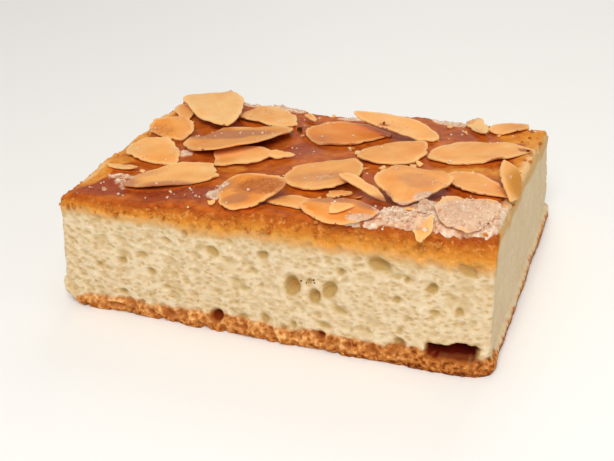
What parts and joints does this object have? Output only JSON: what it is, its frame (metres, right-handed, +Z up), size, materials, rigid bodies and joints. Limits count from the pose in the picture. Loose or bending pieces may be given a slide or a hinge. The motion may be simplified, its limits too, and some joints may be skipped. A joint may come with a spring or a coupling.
{
  "type": "butter cake slice",
  "caption": "Rectangular slice of yeast-dough butter cake, cut on all four sides, with a browned sugared top and curled almond flakes lying on it.",
  "frame": {"origin": "middle of the slice's footprint, at its underside", "axes": "+X along the long side from left to right, +Y from the front cut side to the back, +Z up from the underside to the almonds"},
  "size_m": [0.0926, 0.0722, 0.0302],
  "materials": {
    "cake": "matte, open yeast crumb with a browned, sugared top and base",
    "almond": "satin, toasted and partly glazed with butter and sugar"
  },
  "bodies": {
    "root": {"cake": "cake", "almond_flake_01": "almond", "almond_flake_02": "almond", "almond_flake_03": "almond", "almond_flake_04": "almond", "almond_flake_05": "almond", "almond_flake_06": "almond", "almond_flake_07": "almond", "almond_flake_08": "almond", "almond_flake_09": "almond", "almond_flake_10": "almond", "almond_flake_11": "almond", "almond_flake_12": "almond", "almond_flake_13": "almond", "almond_flake_14": "almond", "almond_flake_15": "almond", "almond_flake_16": "almond", "almond_flake_17": "almond", "almond_flake_18": "almond", "almond_flake_19": "almond", "almond_flake_20": "almond", "almond_flake_21": "almond", "almond_flake_22": "almond", "almond_flake_23": "almond", "almond_flake_24": "almond", "almond_flake_25": "almond", "almond_flake_26": "almond", "almond_flake_27": "almond", "almond_flake_28": "almond", "almond_flake_29": "almond"}
  },
  "joints": []
}
